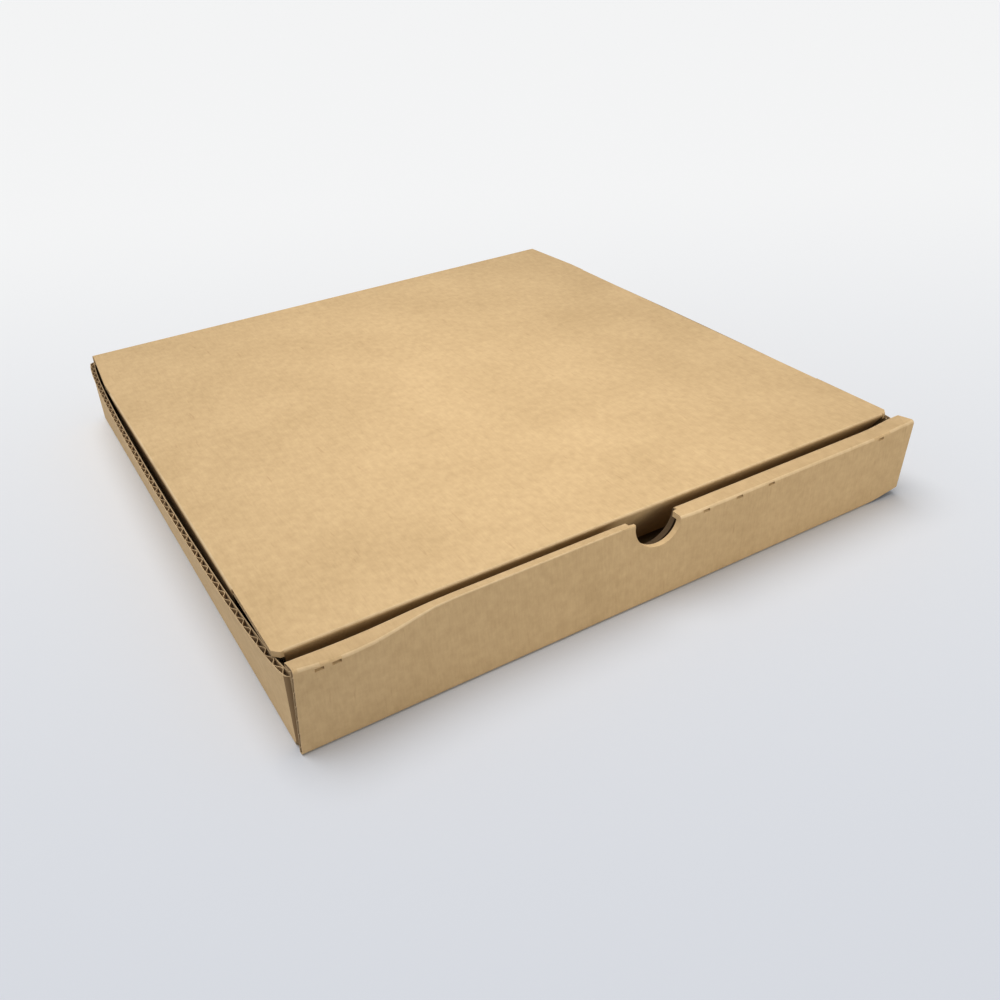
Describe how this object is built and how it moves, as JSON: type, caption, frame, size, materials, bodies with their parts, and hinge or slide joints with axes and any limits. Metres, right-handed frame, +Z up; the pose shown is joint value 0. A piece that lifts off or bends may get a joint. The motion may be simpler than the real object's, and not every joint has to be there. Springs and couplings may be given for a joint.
{
  "type": "pizza box",
  "caption": "Flat square carton of plain kraft corrugated board with a rolled, notched front wall and a hinged lid that tucks in behind it, for carrying a pizza.",
  "frame": {"origin": "middle of the underside of the base, on the table", "axes": "+Z up, +X along the front wall, front wall facing -Y, lid fold at +Y"},
  "size_m": [0.316, 0.308, 0.0391],
  "materials": {
    "kraft_board": "uncoated brown kraft liner, matte"
  },
  "bodies": {
    "tray": {"tray": "kraft_board"},
    "lid": {"lid": "kraft_board"}
  },
  "joints": [
    {"name": "lid_fold", "type": "hinge", "parent": "tray", "child": "lid", "pos_m": [0, 0.154, 0.0382], "axis": [-1, 0, 0], "range_deg": [0, 180]}
  ]
}
